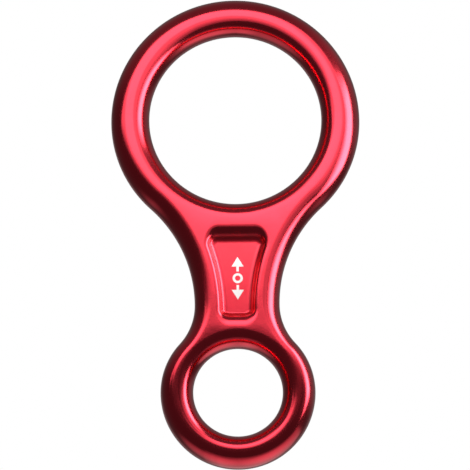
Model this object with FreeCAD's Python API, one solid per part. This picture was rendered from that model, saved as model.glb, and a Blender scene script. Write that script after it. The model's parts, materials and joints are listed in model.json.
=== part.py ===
"""Figure-eight rope descender: one forged aluminium body with a printed load mark.

Millimetres. The origin is the centre of the harness eye, the small hole. +Z runs up the body to the
rope ring, +Y runs through both holes from the front face to the back face, and +X is to the right.
The forging is the same on both faces, about the parting plane Y = 0. The print is on the front only.
"""

import FreeCAD
import Part

import math
import os

from FreeCAD import Vector

# Rings, as seen from the front
eye_hole_r = 11.35
eye_ring_r = 19.65
rope_hole_r = 22.0
rope_ring_r = 31.75
ring_spacing = 70.2  # from the eye's centre to the centre of the rope ring's outer circle
rope_hole_lift = 0.45  # the rope hole sits this far above the centre of its ring's outer circle

# Waist between the rings, and the quarters of the rings that face it
waist_half_width = 10.8
waist_z = 22.6
eye_shoulder_r = 18.35
rope_shoulder_r = 30.4

# Section
thickness = 12.0
outer_edge_r = 4.25
rope_hole_edge_r = 4.7
eye_hole_edge_r = 3.5

# Pocket in each face of the waist
pocket_depth = 2.2
floor_bottom_z = 20.0
floor_top_z = 37.95
floor_bottom_half = 2.75
floor_top_half = 5.5
floor_side_bow = 0.35  # how far the sides of the floor bow inwards
floor_corner_r = 0.5
side_wall_tilt = 60.0  # degrees between a wall of the pocket and the face
end_wall_tilt = 40.0
pocket_root_r = 1.0
pocket_rim_r = 1.8

# Printed load mark on the front pocket's floor
print_thickness = 0.05
mark_x = 0.2
mark_z = 28.8
mark_half_length = 5.5
mark_line = 0.62
head_half_width = 1.55
head_length = 2.5
mark_ring_r = 1.3
mark_gap = 0.45

tolerance = 1e-4
half = thickness / 2
rope_ring_z = ring_spacing
rope_hole_z = ring_spacing + rope_hole_lift


def flat(x, z):
    """A point of the parting plane."""
    return Vector(x, 0, z)


def arc_through(centre, radius, start, end):
    """An arc from one point to another about a centre, the short way round."""
    middle = centre + (start + end - centre * 2).normalize() * radius
    return Part.Arc(start, middle, end)


def ring_side(ring_z, ring_r, shoulder_r):
    """The right-hand arcs from a ring's widest point to the waist.

    First comes a shoulder, a little tighter than the ring and tangent to it at its widest point. Then comes
    a hollow arc, tangent to the shoulder and upright at the waist.
    """
    shoulder = flat(ring_r - shoulder_r, ring_z)
    inset = waist_half_width - shoulder.x
    hollow_r = ((ring_z - waist_z)**2 + inset**2 - shoulder_r**2) / (2 * (shoulder_r - inset))
    hollow = flat(waist_half_width + hollow_r, waist_z)
    widest = flat(ring_r, ring_z)
    meeting = shoulder + (hollow - shoulder).normalize() * shoulder_r
    waist = flat(waist_half_width, waist_z)
    return [
        arc_through(shoulder, shoulder_r, widest, meeting),
        arc_through(hollow, hollow_r, meeting, waist),
    ]


def half_circle(z, radius, way):
    """The outer half of a ring, away from the waist: way is 1 for the upper half and -1 for the lower."""
    return Part.Arc(flat(radius, z), flat(0, z + way * radius), flat(-radius, z))


def outline():
    """The silhouette: an outer half circle on each ring, then shoulders, joined by hollow arcs."""
    upper = ring_side(rope_ring_z, rope_ring_r, rope_shoulder_r)
    lower = ring_side(0, eye_ring_r, eye_shoulder_r)
    ends = [half_circle(rope_ring_z, rope_ring_r, 1), half_circle(0, eye_ring_r, -1)]
    right = Part.Compound([curve.toShape() for curve in upper + lower])
    left = right.mirror(Vector(0, 0, 0), Vector(1, 0, 0))
    return Part.Wire(Part.sortEdges(right.Edges + left.Edges + [end.toShape() for end in ends])[0])


def at_depth(edge, y):
    """Whether an edge lies in the plane at this Y."""
    box = edge.BoundBox
    return abs(box.YMin - y) < tolerance and abs(box.YMax - y) < tolerance


def rounded(shape, radius, belongs):
    """The shape with a fillet on every edge of the two faces that the test picks."""
    on_faces = [e for e in shape.Edges if at_depth(e, half) or at_depth(e, -half)]
    return shape.makeFillet(radius, [e for e in on_faces if belongs(e)])


def is_hole_edge(edge, radius):
    """Whether an edge is a full circle of this radius."""
    closed = len(edge.Vertexes) == 1
    return closed and isinstance(edge.Curve, Part.Circle) and abs(edge.Curve.Radius - radius) < tolerance


def blank():
    """The figure eight with its edges rounded, before the pockets."""
    plate = Part.Face(outline()).extrude(Vector(0, thickness, 0))
    plate.translate(Vector(0, -half, 0))
    for radius, z in ((eye_hole_r, 0), (rope_hole_r, rope_hole_z)):
        plate = plate.cut(Part.makeCylinder(radius, thickness, Vector(0, -half, z), Vector(0, 1, 0)))
    plate = rounded(plate, outer_edge_r, lambda e: len(e.Vertexes) == 2)
    plate = rounded(plate, rope_hole_edge_r, lambda e: is_hole_edge(e, rope_hole_r))
    return rounded(plate, eye_hole_edge_r, lambda e: is_hole_edge(e, eye_hole_r))


def mirrored(points):
    """The same points on the other side of the centre line, in the opposite order."""
    return [flat(-p.x, p.z) for p in reversed(points)]


def pocket_outline(grow, stretch, y):
    """The pocket floor's outline, grown outwards all round and stretched at both ends."""
    core = floor_corner_r
    bottom, top = floor_bottom_z + core - stretch, floor_top_z - core + stretch
    low, high = floor_bottom_half - core, floor_top_half - core
    bowed = flat((low + high) / 2 - floor_side_bow, (bottom + top) / 2)
    side = [flat(low, bottom), bowed, flat(high, top)]
    other = mirrored(side)
    edges = [
        Part.Arc(*side).toShape(),
        Part.LineSegment(side[-1], other[0]).toShape(),
        Part.Arc(*other).toShape(),
        Part.LineSegment(other[-1], side[0]).toShape(),
    ]
    wire = Part.Wire(edges).makeOffset2D(core + grow)
    wire.translate(Vector(0, y, 0))
    return wire


def wall_run(tilt, rise):
    """How far a wall's foot, before its root fillet, and its top at this rise stand off the floor."""
    foot = pocket_root_r * math.tan(math.radians(tilt / 2))
    return foot, foot + rise / math.tan(math.radians(tilt))


def pocket_tool(side):
    """The solid that a pocket removes: it widens from the floor to beyond the face."""
    beyond = 1.0
    side_runs = wall_run(side_wall_tilt, pocket_depth + beyond)
    end_runs = wall_run(end_wall_tilt, pocket_depth + beyond)
    depths = (half - pocket_depth, half + beyond)
    wires = [pocket_outline(across, along - across, side * y)
             for across, along, y in zip(side_runs, end_runs, depths)]
    return Part.makeLoft(wires, True, True)


def is_mouth(edge):
    """Whether an edge on a face bounds a pocket, rather than a hole or the outer rounding."""
    margin = 1.0
    box = edge.BoundBox
    across = floor_top_half + wall_run(side_wall_tilt, pocket_depth)[1] + margin
    along = wall_run(end_wall_tilt, pocket_depth)[1] + margin
    upright = box.ZMin > floor_bottom_z - along and box.ZMax < floor_top_z + along
    return upright and box.XMin > -across and box.XMax < across


def descender_body():
    """The forging, with a soft-edged pocket in each face."""
    body = blank()
    for side in (-1, 1):
        body = body.cut(pocket_tool(side))
    for side in (-1, 1):
        floor = [e for e in body.Edges if at_depth(e, side * (half - pocket_depth))]
        body = body.makeFillet(pocket_root_r, floor)
        mouth = [e for e in body.Edges if at_depth(e, side * half) and is_mouth(e)]
        body = body.makeFillet(pocket_rim_r, mouth)
    return body


def printed(points):
    """A flat patch of ink with these corners, on the front pocket's floor."""
    wire = Part.makePolygon([flat(mark_x + x, mark_z + z) for x, z in points + points[:1]])
    return raised(Part.Face(wire))


def raised(face):
    """A face of the parting plane as a layer of ink on the front pocket's floor."""
    layer = face.extrude(Vector(0, print_thickness, 0))
    layer.translate(Vector(0, pocket_depth - half - print_thickness, 0))
    return layer


def load_arrow(direction):
    """An arrow from beside the mark's ring to its end, up or down the body."""
    tail = mark_ring_r + mark_gap
    neck = mark_half_length - head_length
    line = mark_line / 2
    corners = [(-line, tail), (line, tail), (line, neck), (head_half_width, neck)]
    corners += [(0, mark_half_length), (-head_half_width, neck), (-line, neck)]
    return printed([(x, direction * z) for x, z in corners])


def load_ring():
    """The ring between the two arrows, which stands for the eye of the load."""
    disc = [Part.Face(Part.Wire(Part.makeCircle(r, flat(mark_x, mark_z), Vector(0, 1, 0))))
            for r in (mark_ring_r, mark_ring_r - mark_line)]
    return raised(disc[0].cut(disc[1]).Faces[0])


def main():
    nodes = {
        "forged_body": descender_body(),
        "load_arrow_up": load_arrow(1),
        "load_arrow_down": load_arrow(-1),
        "load_ring": load_ring(),
    }
    os.makedirs("parts", exist_ok=True)
    for name, shape in nodes.items():
        solid = shape.Solids[0]
        print(name, solid.isValid(), round(solid.Volume, 2), solid.optimalBoundingBox())
        solid.exportStep(f"parts/{name}.step")


main()
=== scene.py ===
"""The looks of a figure-eight rope descender: a polished, red anodised aluminium forging.

Shapes are worked out in millimetres, in the part's own frame, and scaled to metres when a mesh is made.
The front face looks along -Y, +Z runs up from the harness eye to the rope ring, and +X is to the right.
"""

import json
import math

import bmesh
import bpy
import numpy as np
from mathutils import Matrix, Vector


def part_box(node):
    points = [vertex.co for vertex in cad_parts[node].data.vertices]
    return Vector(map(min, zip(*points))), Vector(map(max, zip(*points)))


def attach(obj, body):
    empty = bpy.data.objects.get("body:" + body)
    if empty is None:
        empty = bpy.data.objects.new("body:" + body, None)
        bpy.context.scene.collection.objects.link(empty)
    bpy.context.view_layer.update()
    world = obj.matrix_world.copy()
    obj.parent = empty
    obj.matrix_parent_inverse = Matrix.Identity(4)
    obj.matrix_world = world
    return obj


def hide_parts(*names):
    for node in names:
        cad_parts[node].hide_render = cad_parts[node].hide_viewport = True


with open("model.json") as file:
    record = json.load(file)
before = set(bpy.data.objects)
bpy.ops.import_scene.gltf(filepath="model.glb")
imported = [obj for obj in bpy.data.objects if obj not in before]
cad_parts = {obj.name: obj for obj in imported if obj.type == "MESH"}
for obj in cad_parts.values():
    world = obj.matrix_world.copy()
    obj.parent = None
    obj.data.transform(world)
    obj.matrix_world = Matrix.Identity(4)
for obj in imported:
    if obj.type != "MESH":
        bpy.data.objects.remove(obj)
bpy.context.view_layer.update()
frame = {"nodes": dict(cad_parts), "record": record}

MM = 0.001

# The forging's sizes, from the frame
low, high = (np.array(corner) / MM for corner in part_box("forged_body"))
mounts = {mount["name"]: mount for mount in frame["record"]["mounts"]}
half = high[1]
rope_ring_r = high[0]
rope_ring_z = high[2] - rope_ring_r
eye_ring_r = -low[2]
rope_hole_r = mounts["rope_ring"]["dims"]["r_mm"]
rope_hole_z = mounts["rope_ring"]["pos_m"][2] / MM
eye_hole_r = mounts["harness_eye"]["dims"]["r_mm"]
floor_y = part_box("load_ring")[1].y / MM

# The waist, the shoulders that run into it, and how far in the edges are rounded
waist_half_width = 10.8
waist_z = 22.6
rope_shoulder_r = 30.4
eye_shoulder_r = 18.35
rope_ring_edge_run = 4.6
rope_hole_edge_run = 4.6
eye_ring_edge_run = 3.6
eye_hole_edge_run = 4.2

# The pocket in each face, and its floor
floor_bottom_z = 20.0
floor_top_z = 37.95
floor_bottom_half = 2.3
floor_top_half = 5.2
floor_side_bow = 0.75
floor_corner_r = 0.5
# Its walls: the tilt is from the face, in degrees, with a fillet at the floor and another at the face
side_wall = {"tilt": 61.0, "root_r": 2.0, "rim_r": 1.5}
top_wall = {"tilt": 49.0, "root_r": 2.3, "rim_r": 3.6}
bottom_wall = {"tilt": 55.0, "root_r": 0.5, "rim_r": 4.0}

# How finely each stretch of the mesh is divided
RING_STEPS = 200
EYE_STEPS = 130
SIDE_STEPS = 60
ROPE_HOLE_STEPS = 200
EYE_HOLE_STEPS = 130
EDGE_ROWS = 24
POCKET_SIDE_STEPS = 60
POCKET_END_STEPS = 30
POCKET_CORNER_STEPS = 12
POCKET_ROOT_STEPS = 8
POCKET_RIM_STEPS = 14
FINE_STEPS = 400  # for paths that are then divided evenly
WELD = 0.0005  # points closer than this are one


# ---------------------------------------------------------------- shapes, in millimetres

def arc(centre, radius, start, end, steps):
    """Points on an arc about a centre (x, z), with the directions from the centre; angles in radians."""
    angles = np.linspace(start, end, steps + 1)
    away = np.stack([np.cos(angles), np.sin(angles)], axis=1)
    return np.array(centre) + radius * away, away


def line(start, end, steps):
    """Evenly spaced points from start to end."""
    share = np.linspace(0, 1, steps + 1)[:, None]
    return np.array(start) * (1 - share) + np.array(end) * share


def resampled(points, extra, steps):
    """A path and a quantity along it, both taken at evenly spaced lengths."""
    along = np.concatenate([[0], np.cumsum(np.linalg.norm(np.diff(points, axis=0), axis=1))])
    wanted = np.linspace(0, along[-1], steps + 1)
    columns = np.concatenate([points, extra], axis=1)
    taken = np.stack([np.interp(wanted, along, column) for column in columns.T], axis=1)
    return taken[:, :2], taken[:, 2:]


def eased(value, start, end):
    """A smooth share from 0 to 1 as a value goes from start to end."""
    share = np.clip((value - start) / (end - start), 0, 1)
    return share**2 * (3 - 2 * share)


def waist_hollow(ring_z, ring_r, shoulder_r):
    """The hollow arc's radius between the waist and a ring's shoulder, and how far both arcs turn."""
    rise = abs(ring_z - waist_z)
    inset = waist_half_width - (ring_r - shoulder_r)
    radius = (rise**2 + inset**2 - shoulder_r**2) / (2 * (shoulder_r - inset))
    return radius, math.atan2(rise, inset + radius)


def ring_side(ring_z, ring_r, shoulder_r, way, steps):
    """A ring's outline from one end of the waist's hollows to the other, with the directions outwards.

    It runs anticlockwise round the side away from the waist: way is 1 for above it and -1 for below.
    """
    turn = waist_hollow(ring_z, ring_r, shoulder_r)[1]
    shift = ring_r - shoulder_r
    first, first_out = arc((shift, 0), shoulder_r, -turn, 0, FINE_STEPS)
    ring, ring_out = arc((0, 0), ring_r, 0, math.pi, 2 * FINE_STEPS)
    last, last_out = arc((-shift, 0), shoulder_r, math.pi, math.pi + turn, FINE_STEPS)
    points, outwards = resampled(joined(first, ring, last), joined(first_out, ring_out, last_out), steps)
    return way * points + np.array([0, ring_z]), way * outwards


def waist_side():
    """The outline's right side from the rope ring down to the eye, with the directions into the body.

    It is two hollow arcs that meet, upright, at the waist.
    """
    upper_r, upper_turn = waist_hollow(rope_ring_z, rope_ring_r, rope_shoulder_r)
    lower_r, lower_turn = waist_hollow(0, eye_ring_r, eye_shoulder_r)
    upper_centre = (waist_half_width + upper_r, waist_z)
    lower_centre = (waist_half_width + lower_r, waist_z)
    upper, upper_in = arc(upper_centre, upper_r, math.pi - upper_turn, math.pi, FINE_STEPS)
    lower, lower_in = arc(lower_centre, lower_r, math.pi, math.pi + lower_turn, FINE_STEPS)
    return resampled(joined(upper, lower), joined(upper_in, lower_in), SIDE_STEPS)


def flipped(points):
    """The same path on the other side of the centre line, run the other way."""
    return points[::-1] * np.array([-1, 1])


def edge_strip(points, inwards, runs):
    """The rounded strip from the parting plane to the front face, one column for each point.

    Each column is a quarter of an ellipse, as wide as its run.
    """
    rise = np.linspace(0, math.pi / 2, EDGE_ROWS + 1)[:, None]
    inset = (1 - np.cos(rise)) * np.broadcast_to(runs, len(points))
    flat = points[None] + inwards[None] * inset[..., None]
    depth = np.broadcast_to(-half * np.sin(rise), flat.shape[:2])
    return np.stack([flat[..., 0], depth, flat[..., 1]], axis=2)


def wall_profile(tilt, root_r, rim_r):
    """Distance out from the pocket's floor and height above it, from the floor to the face.

    The wall leans by tilt degrees from the face, with a fillet at its root and another at its rim.
    """
    depth = half + floor_y
    lean = math.radians(tilt)
    root = np.linspace(0, lean, POCKET_ROOT_STEPS + 1)
    rim = np.linspace(lean, 0, POCKET_RIM_STEPS + 1)
    straight = (depth - (root_r + rim_r) * (1 - math.cos(lean))) / math.tan(lean)
    reach = (root_r + rim_r) * math.sin(lean) + straight
    out = np.concatenate([root_r * np.sin(root), reach - rim_r * np.sin(rim)])
    up = np.concatenate([root_r * (1 - np.cos(root)), depth - rim_r * (1 - np.cos(rim))])
    return out, up


def pocket_floor_loop():
    """The floor's outline, clockwise from the middle of its top left corner, with outward directions."""
    top, bottom = floor_top_z - floor_corner_r, floor_bottom_z + floor_corner_r
    wide, narrow = floor_top_half - floor_corner_r, floor_bottom_half - floor_corner_r
    rise, run = top - bottom, wide - narrow
    chord = math.hypot(rise, run)
    bow_r = (chord**2 / 4 + floor_side_bow**2) / (2 * floor_side_bow)
    lean, spread = math.atan2(run, rise), math.asin(chord / 2 / bow_r)
    middle = np.array([(wide + narrow) / 2, (top + bottom) / 2])
    outwards = np.array([math.cos(lean), -math.sin(lean)])
    centre = middle + outwards * (bow_r - floor_side_bow)
    facing = math.pi - lean
    side, side_in = arc(centre, bow_r, facing - spread, facing + spread, POCKET_SIDE_STEPS)
    side_out = -side_in
    top_turn = math.atan2(side_out[0][1], side_out[0][0])
    low_turn = math.atan2(side_out[-1][1], side_out[-1][0])
    upper, upper_out = arc((wide, top), floor_corner_r, math.pi / 2, top_turn, POCKET_CORNER_STEPS)
    lower, lower_out = arc((narrow, bottom), floor_corner_r, low_turn, -math.pi / 2, POCKET_CORNER_STEPS)
    side = side + floor_corner_r * side_out
    top_end = line((-upper[0][0], upper[0][1]), upper[0], POCKET_END_STEPS)
    low_end = line(lower[-1], (-lower[-1][0], lower[-1][1]), POCKET_END_STEPS)
    upwards = np.tile([0, 1], (POCKET_END_STEPS + 1, 1))
    right = joined(upper, side, lower)
    right_out = joined(upper_out, side_out, lower_out)
    points = joined(top_end, right, low_end, flipped(right))
    outward = joined(upwards, right_out, -upwards, flipped(right_out))
    half_corner = POCKET_CORNER_STEPS // 2
    return np.roll(points[:-1], half_corner, axis=0), np.roll(outward[:-1], half_corner, axis=0)


def joined(*runs):
    """Runs that start where the one before ends, as one run."""
    return np.concatenate([runs[0]] + [run[1:] for run in runs[1:]])


def closed(loop):
    """A loop with its first point repeated at the end."""
    return np.concatenate([loop, loop[:1]])


def on_face(flat, y):
    """Flat points (x, z) as points (x, y, z)."""
    return np.stack([flat[..., 0], np.full(flat.shape[:-1], y), flat[..., 1]], axis=-1)


def pocket_walls(loop, outward):
    """The rows of the pocket's wall, from its floor to its rim."""
    side_out, side_up = wall_profile(**side_wall)
    top_out, top_up = wall_profile(**top_wall)
    bottom_out, bottom_up = wall_profile(**bottom_wall)
    upwards, endness = outward[:, 1] > 0, outward[:, 1] ** 2
    end_out = np.where(upwards, top_out[:, None], bottom_out[:, None])
    end_up = np.where(upwards, top_up[:, None], bottom_up[:, None])
    x = loop[:, 0] + outward[:, 0] * side_out[:, None]
    z = loop[:, 1] + outward[:, 1] * end_out
    up = side_up[:, None] * (1 - endness) + end_up * endness
    return np.stack([x, floor_y - up, z], axis=2)


def pocket_floor(loop):
    """The flat floor, as a grid that meets the loop point for point."""
    across = POCKET_END_STEPS + POCKET_CORNER_STEPS
    down = POCKET_SIDE_STEPS + POCKET_CORNER_STEPS
    turned = closed(loop)
    top = turned[:across + 1]
    right = turned[across:across + down + 1]
    bottom = turned[across + down:2 * across + down + 1][::-1]
    left = turned[2 * across + down:][::-1]
    u = np.linspace(0, 1, across + 1)[None, :, None]
    v = np.linspace(0, 1, down + 1)[:, None, None]
    ruled = (1 - v) * top[None] + v * bottom[None] + (1 - u) * left[:, None] + u * right[:, None]
    corners = ((1 - u) * (1 - v) * top[0] + u * (1 - v) * top[-1]
               + (1 - u) * v * bottom[0] + u * v * bottom[-1])
    return on_face(ruled - corners, floor_y)


def front_patches():
    """The front half of the forging but for its flat face, as grids of points."""
    ring, ring_out = ring_side(rope_ring_z, rope_ring_r, rope_shoulder_r, 1, RING_STEPS)
    eye, eye_out = ring_side(0, eye_ring_r, eye_shoulder_r, -1, EYE_STEPS)
    side, side_in = waist_side()
    outline = joined(ring, flipped(side)[::-1], eye, side[::-1])
    inwards = joined(-ring_out, flipped(side_in)[::-1], -eye_out, side_in[::-1])
    upness = eased(outline[:, 1], eye_hole_r, waist_z)
    outer_runs = eye_ring_edge_run + (rope_ring_edge_run - eye_ring_edge_run) * upness
    rope_hole, rope_hole_out = arc((0, rope_hole_z), rope_hole_r, 0, 2 * math.pi, ROPE_HOLE_STEPS)
    eye_hole, eye_hole_out = arc((0, 0), eye_hole_r, 0, 2 * math.pi, EYE_HOLE_STEPS)
    loop, outward = pocket_floor_loop()
    return [
        edge_strip(outline, inwards, outer_runs),
        edge_strip(rope_hole, rope_hole_out, rope_hole_edge_run),
        edge_strip(eye_hole, eye_hole_out, eye_hole_edge_run),
        pocket_walls(closed(loop), closed(outward)),
        pocket_floor(loop),
    ]


# ---------------------------------------------------------------- meshes

def grid_faces(rows, columns, first):
    """The quads of a grid whose points are numbered row by row from first."""
    number = np.arange(rows * columns).reshape(rows, columns) + first
    corners = [number[:-1, :-1], number[:-1, 1:], number[1:, 1:], number[1:, :-1]]
    return np.stack(corners, axis=2).reshape(-1, 4)


def forging():
    """The whole body as one closed mesh, the back being the front mirrored through the parting plane.

    The flat face that joins the rounded strips and the pocket's rim is filled in last.
    """
    points, faces, first = [], [], 0
    for patch in front_patches():
        for flip in (1, -1):
            quads = grid_faces(*patch.shape[:2], first)
            points.append((patch * np.array([1, flip, 1])).reshape(-1, 3))
            faces.append(quads)
            first += len(points[-1])
    mesh = bpy.data.meshes.new("descender_forging")
    mesh.from_pydata((np.concatenate(points) * MM).tolist(), [], np.concatenate(faces).tolist())
    body = bmesh.new()
    body.from_mesh(mesh)
    bmesh.ops.remove_doubles(body, verts=body.verts, dist=WELD * MM)
    for side in (-1, 1):
        rims = [e for e in body.edges if e.is_boundary and all(v.co.y * side > 0 for v in e.verts)]
        bmesh.ops.triangle_fill(body, use_beauty=True, edges=rims)
    bmesh.ops.recalc_face_normals(body, faces=body.faces)
    for face in body.faces:
        face.smooth = True
    body.to_mesh(mesh)
    body.free()
    piece = bpy.data.objects.new("descender_forging", mesh)
    bpy.context.scene.collection.objects.link(piece)
    return piece


# ---------------------------------------------------------------- materials

class Shading:
    """Node arithmetic in one tree, from the parts of one texture coordinate."""

    def __init__(self, tree, coordinate):
        self.nodes, self.links = tree.nodes, tree.links
        self.place = self.nodes.new("ShaderNodeTexCoord").outputs[coordinate]
        split = self.nodes.new("ShaderNodeSeparateXYZ")
        self.links.new(self.place, split.inputs[0])
        self.x, self.y, self.z = split.outputs

    def feed(self, socket, value):
        """Sets a socket to a value, or links another socket to it."""
        if isinstance(value, bpy.types.NodeSocket):
            self.links.new(value, socket)
        else:
            socket.default_value = value

    def math(self, kind, *values):
        """A Math node; each value is a number or a socket."""
        node = self.nodes.new("ShaderNodeMath")
        node.operation = kind
        for socket, value in zip(node.inputs, values):
            self.feed(socket, value)
        return node.outputs[0]

    def product(self, first, *others):
        """All the values multiplied together."""
        for other in others:
            first = self.math("MULTIPLY", first, other)
        return first

    def total(self, first, *others):
        """All the values added together."""
        for other in others:
            first = self.math("ADD", first, other)
        return first

    def ramp(self, value, start, end, low_level, high_level):
        """A smooth change of level as a value goes from start to end."""
        node = self.nodes.new("ShaderNodeMapRange")
        node.interpolation_type = "SMOOTHSTEP"
        for socket, given in zip(node.inputs, (value, start, end, low_level, high_level)):
            self.feed(socket, given)
        return node.outputs[0]

    def noise(self, size, low_level, high_level):
        """Noise with features of about this size, spread between two levels.

        The node's own values mostly lie between 0.3 and 0.7.
        """
        node = self.nodes.new("ShaderNodeTexNoise")
        self.feed(node.inputs["Vector"], self.place)
        self.feed(node.inputs["Scale"], 1 / size)
        return self.ramp(node.outputs["Fac"], 0.3, 0.7, low_level, high_level)

    def specks(self, spacing, radius):
        """Small dots, scattered about this far apart: 1 inside a dot and 0 outside."""
        node = self.nodes.new("ShaderNodeTexVoronoi")
        self.feed(node.inputs["Vector"], self.place)
        self.feed(node.inputs["Scale"], 1 / spacing)
        return self.ramp(node.outputs["Distance"], radius / spacing / 2, radius / spacing, 1, 0)

    def blend(self, share, colour, other):
        """A colour that turns into another as the share goes from 0 to 1."""
        node = self.nodes.new("ShaderNodeMix")
        node.data_type = "RGBA"
        self.feed(node.inputs["Factor"], share)
        self.feed(node.inputs["A"], colour)
        self.feed(node.inputs["B"], other)
        return node.outputs["Result"]

    def bump(self, height):
        """The surface's normal, with a height in metres added to it."""
        node = self.nodes.new("ShaderNodeBump")
        self.feed(node.inputs["Distance"], 1)
        self.feed(node.inputs["Height"], height)
        return node.outputs["Normal"]


def material(name):
    """A new material, its Principled shader and the shading that feeds it."""
    made = bpy.data.materials.new(name)
    made.use_nodes = True
    return made, made.node_tree.nodes["Principled BSDF"].inputs, Shading(made.node_tree, "Object")


def pocket_share(look):
    """1 in the pockets and 0 outside: their sides lean out with height, and they lie below the face."""
    width = look.math("ABSOLUTE", look.x)
    lean = (floor_top_half - floor_bottom_half) / (floor_top_z - floor_bottom_z)
    out = look.math("SUBTRACT", width, look.math("MULTIPLY", look.z, lean))
    beside = look.ramp(out, start=0.8 * MM, end=1.6 * MM, low_level=1, high_level=0)
    level = look.math("ABSOLUTE", look.math("SUBTRACT", look.z, (floor_top_z + floor_bottom_z) / 2 * MM))
    along = look.ramp(level, start=11 * MM, end=13 * MM, low_level=1, high_level=0)
    depth = look.math("ABSOLUTE", look.y)
    sunk = look.ramp(depth, start=-floor_y * MM + 0.4 * MM, end=half * MM, low_level=1, high_level=0)
    return look.product(beside, along, sunk)


def waist_share(look):
    """1 at the foot of the pockets, fading to 0 in the rings."""
    away = look.math("ABSOLUTE", look.math("SUBTRACT", look.z, floor_bottom_z * MM))
    return look.ramp(away, start=8 * MM, end=24 * MM, low_level=1, high_level=0)


def seam_share(look):
    """1 on the fine line at mid-thickness where the two dies met, and 0 elsewhere."""
    depth = look.math("ABSOLUTE", look.y)
    return look.ramp(depth, start=0.08 * MM, end=0.22 * MM, low_level=1, high_level=0)


def anodised():
    """Polished aluminium under a clear red oxide, less polished on the waist and satin in the pockets."""
    made, shader, look = material("red_anodised")
    pocket, waist, seam = pocket_share(look), waist_share(look), seam_share(look)
    pits = look.specks(spacing=7 * MM, radius=0.2 * MM)

    polish = look.noise(size=14 * MM, low_level=0.15, high_level=0.19)
    roughness = look.total(polish, look.product(waist, 0.02), look.product(pocket, 0.14),
                           look.product(seam, 0.15), look.product(pits, 0.2))
    look.feed(shader["Roughness"], roughness)

    clouds = look.noise(size=11 * MM, low_level=0, high_level=0.35)
    mottle = look.noise(size=0.9 * MM, low_level=0, high_level=0.15)
    deep = look.math("MAXIMUM", look.math("ADD", clouds, mottle), look.product(seam, 0.8))
    bright_red, deep_red = (0.93, 0.015, 0.047, 1), (0.74, 0.008, 0.027, 1)
    look.feed(shader["Base Color"], look.blend(deep, bright_red, deep_red))

    satin = look.total(look.product(waist, 0.5), look.product(pocket, 0.5), 0.25)
    grain = look.product(look.noise(size=0.28 * MM, low_level=-1, high_level=1), satin, 0.0018 * MM)
    waves = look.noise(size=6 * MM, low_level=-0.004 * MM, high_level=0.004 * MM)
    dents = look.product(look.total(seam, pits), -0.01 * MM)
    relief = look.bump(look.total(grain, waves, dents))
    look.feed(shader["Normal"], relief)
    look.feed(shader["Coat Normal"], relief)

    shader["Metallic"].default_value = 1
    shader["Coat Weight"].default_value = 1
    shader["Coat Roughness"].default_value = 0.18
    shader["Coat IOR"].default_value = 1.47
    return made


def ink():
    """White pad-printed ink, a little thin in places, so the red shows through."""
    made, shader, look = material("white_print")
    thin = look.noise(size=0.45 * MM, low_level=0, high_level=0.12)
    white, pink = (0.98, 0.96, 0.95, 1), (0.8, 0.42, 0.42, 1)
    look.feed(shader["Base Color"], look.blend(thin, white, pink))
    look.feed(shader["Roughness"], look.noise(size=0.3 * MM, low_level=0.38, high_level=0.55))
    look.feed(shader["Normal"], look.bump(look.noise(size=0.16 * MM, low_level=0, high_level=0.004 * MM)))
    return made


def paper():
    """The pale floor, which glows a little so that it stays pale in the dark room."""
    made, shader, look = material("paper")
    shader["Base Color"].default_value = (0.8, 0.8, 0.8, 1)
    shader["Emission Color"].default_value = (1, 1, 1, 1)
    shader["Emission Strength"].default_value = 0.65
    look.feed(shader["Roughness"], look.noise(size=5 * MM, low_level=0.65, high_level=0.75))
    return made


# ---------------------------------------------------------------- the object

body = forging()
body.data.materials.append(anodised())
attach(body, "root")
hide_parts("forged_body")

print_material = ink()
for name in ("load_arrow_up", "load_arrow_down", "load_ring"):
    for slot in frame["nodes"][name].material_slots:
        slot.material = print_material


# ---------------------------------------------------------------- camera

def aimed(thing, place, target, roll=0.0):
    """Puts a camera or light at a place, looking at a target, turned by roll degrees about its own axis."""
    thing.location = place
    facing = (Vector(target) - Vector(place)).to_track_quat("-Z", "Y")
    thing.rotation_mode = "QUATERNION"
    thing.rotation_quaternion = facing @ Matrix.Rotation(math.radians(roll), 4, "Z").to_quaternion()
    return thing


# The camera looks slightly up at the front of the part; distances are in metres
view_below = math.radians(11.23)
view_distance = 1.4
view_height = 0.1198  # how much fits in the picture's height at the part
view_roll = -0.576
view_target = Vector((-0.00037, 0, 0.04074))

camera_data = bpy.data.cameras.new("camera")
camera_data.sensor_width = 36
camera_data.lens = camera_data.sensor_width / view_height * view_distance
camera_data.clip_end = 20
camera = bpy.data.objects.new("camera", camera_data)
bpy.context.scene.collection.objects.link(camera)
away = Vector((0, -math.cos(view_below), -math.sin(view_below)))
aimed(camera, view_target + away * view_distance, view_target, view_roll)
bpy.context.scene.camera = camera


# ---------------------------------------------------------------- floor and light, in metres

LAYER_GAP = 0.001  # between the lights of one soft box, which would hide each other in one plane


def softbox(name, place, target, roll, size, level, feather):
    """A rectangular light that the camera doesn't see; its level is how bright its reflection is.

    It is made of three lights, each a feather larger than the one in front, so its edge fades.
    """
    back = (Vector(place) - Vector(target)).normalized()
    for step in (-1, 0, 1):
        data = bpy.data.lights.new(f"{name}_{step + 2}", "AREA")
        data.shape = "RECTANGLE"
        data.size, data.size_y = (side + step * feather for side in size)
        data.energy = level / 3 * math.pi * data.size * data.size_y
        light = bpy.data.objects.new(data.name, data)
        bpy.context.scene.collection.objects.link(light)
        light.visible_camera = False
        aimed(light, Vector(place) + back * LAYER_GAP * step, target, roll)


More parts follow.
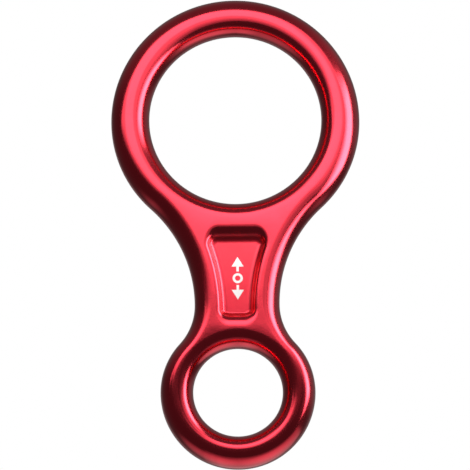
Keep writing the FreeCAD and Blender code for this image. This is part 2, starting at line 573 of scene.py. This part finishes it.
def studio():
    """The world: white to the camera, and to the object a dark room with a pale table below.

    The table's brightness fades towards the camera's side.
    """
    made = bpy.data.worlds.new("studio")
    made.use_nodes = True
    sky = Shading(made.node_tree, "Generated")
    ceiling = sky.ramp(sky.z, start=0.23, end=0.73, low_level=0.06, high_level=0.13)
    right = sky.ramp(sky.x, start=0.3, end=0.9, low_level=0, high_level=0.125)
    not_below = sky.ramp(sky.z, start=-0.2, end=0.1, low_level=0, high_level=1)
    sideways = sky.product(sky.math("ABSOLUTE", sky.x), 0.5)
    backwards = sky.math("MULTIPLY_ADD", sky.y, 0.45, sideways)
    downwards = sky.math("SUBTRACT", backwards, sky.z)
    table = sky.ramp(downwards, start=0.98, end=1.26, low_level=0, high_level=0.43)
    behind = sky.ramp(sky.y, start=0.75, end=0.95, low_level=0, high_level=0.11)
    room = sky.total(ceiling, sky.product(right, not_below), table, behind)
    path = made.node_tree.nodes.new("ShaderNodeLightPath")
    seen = sky.math("MAXIMUM", room, path.outputs["Is Camera Ray"])
    sky.feed(made.node_tree.nodes["Background"].inputs["Color"], seen)
    bpy.context.scene.world = made


def add_floor(z, size):
    """A plain floor, which the object doesn't reflect."""
    bpy.ops.mesh.primitive_plane_add(size=size, location=(0, 0, z))
    floor = bpy.context.active_object
    floor.name = "floor"
    floor.data.materials.append(paper())
    floor.visible_glossy = False


studio()

# Each soft box makes one of the bright bands on the metal
softbox("front_softbox", place=(-0.139, -0.428, 0.441), target=(-0.209, 0, 0.778), roll=-13.8,
        size=(0.743, 0.88), level=1.26, feather=0.042)
softbox("front_lamp", place=(-0.047, -0.218, 0.169), target=(0, 0, 0.04), roll=0,
        size=(0.219, 0.198), level=1.27, feather=0.027)
softbox("side_strip", place=(0.124, -0.032, 0.064), target=(0, 0.119, 0.09), roll=23,
        size=(0.09, 0.138), level=7, feather=0.025)
softbox("table_sheet", place=(0.056, 0.055, -0.071), target=(0.056, 0.055, 0), roll=0,
        size=(0.18, 0.15), level=0.36, feather=0.02)

add_floor(z=-0.36, size=8)
bpy.context.scene.view_settings.view_transform = "Standard"
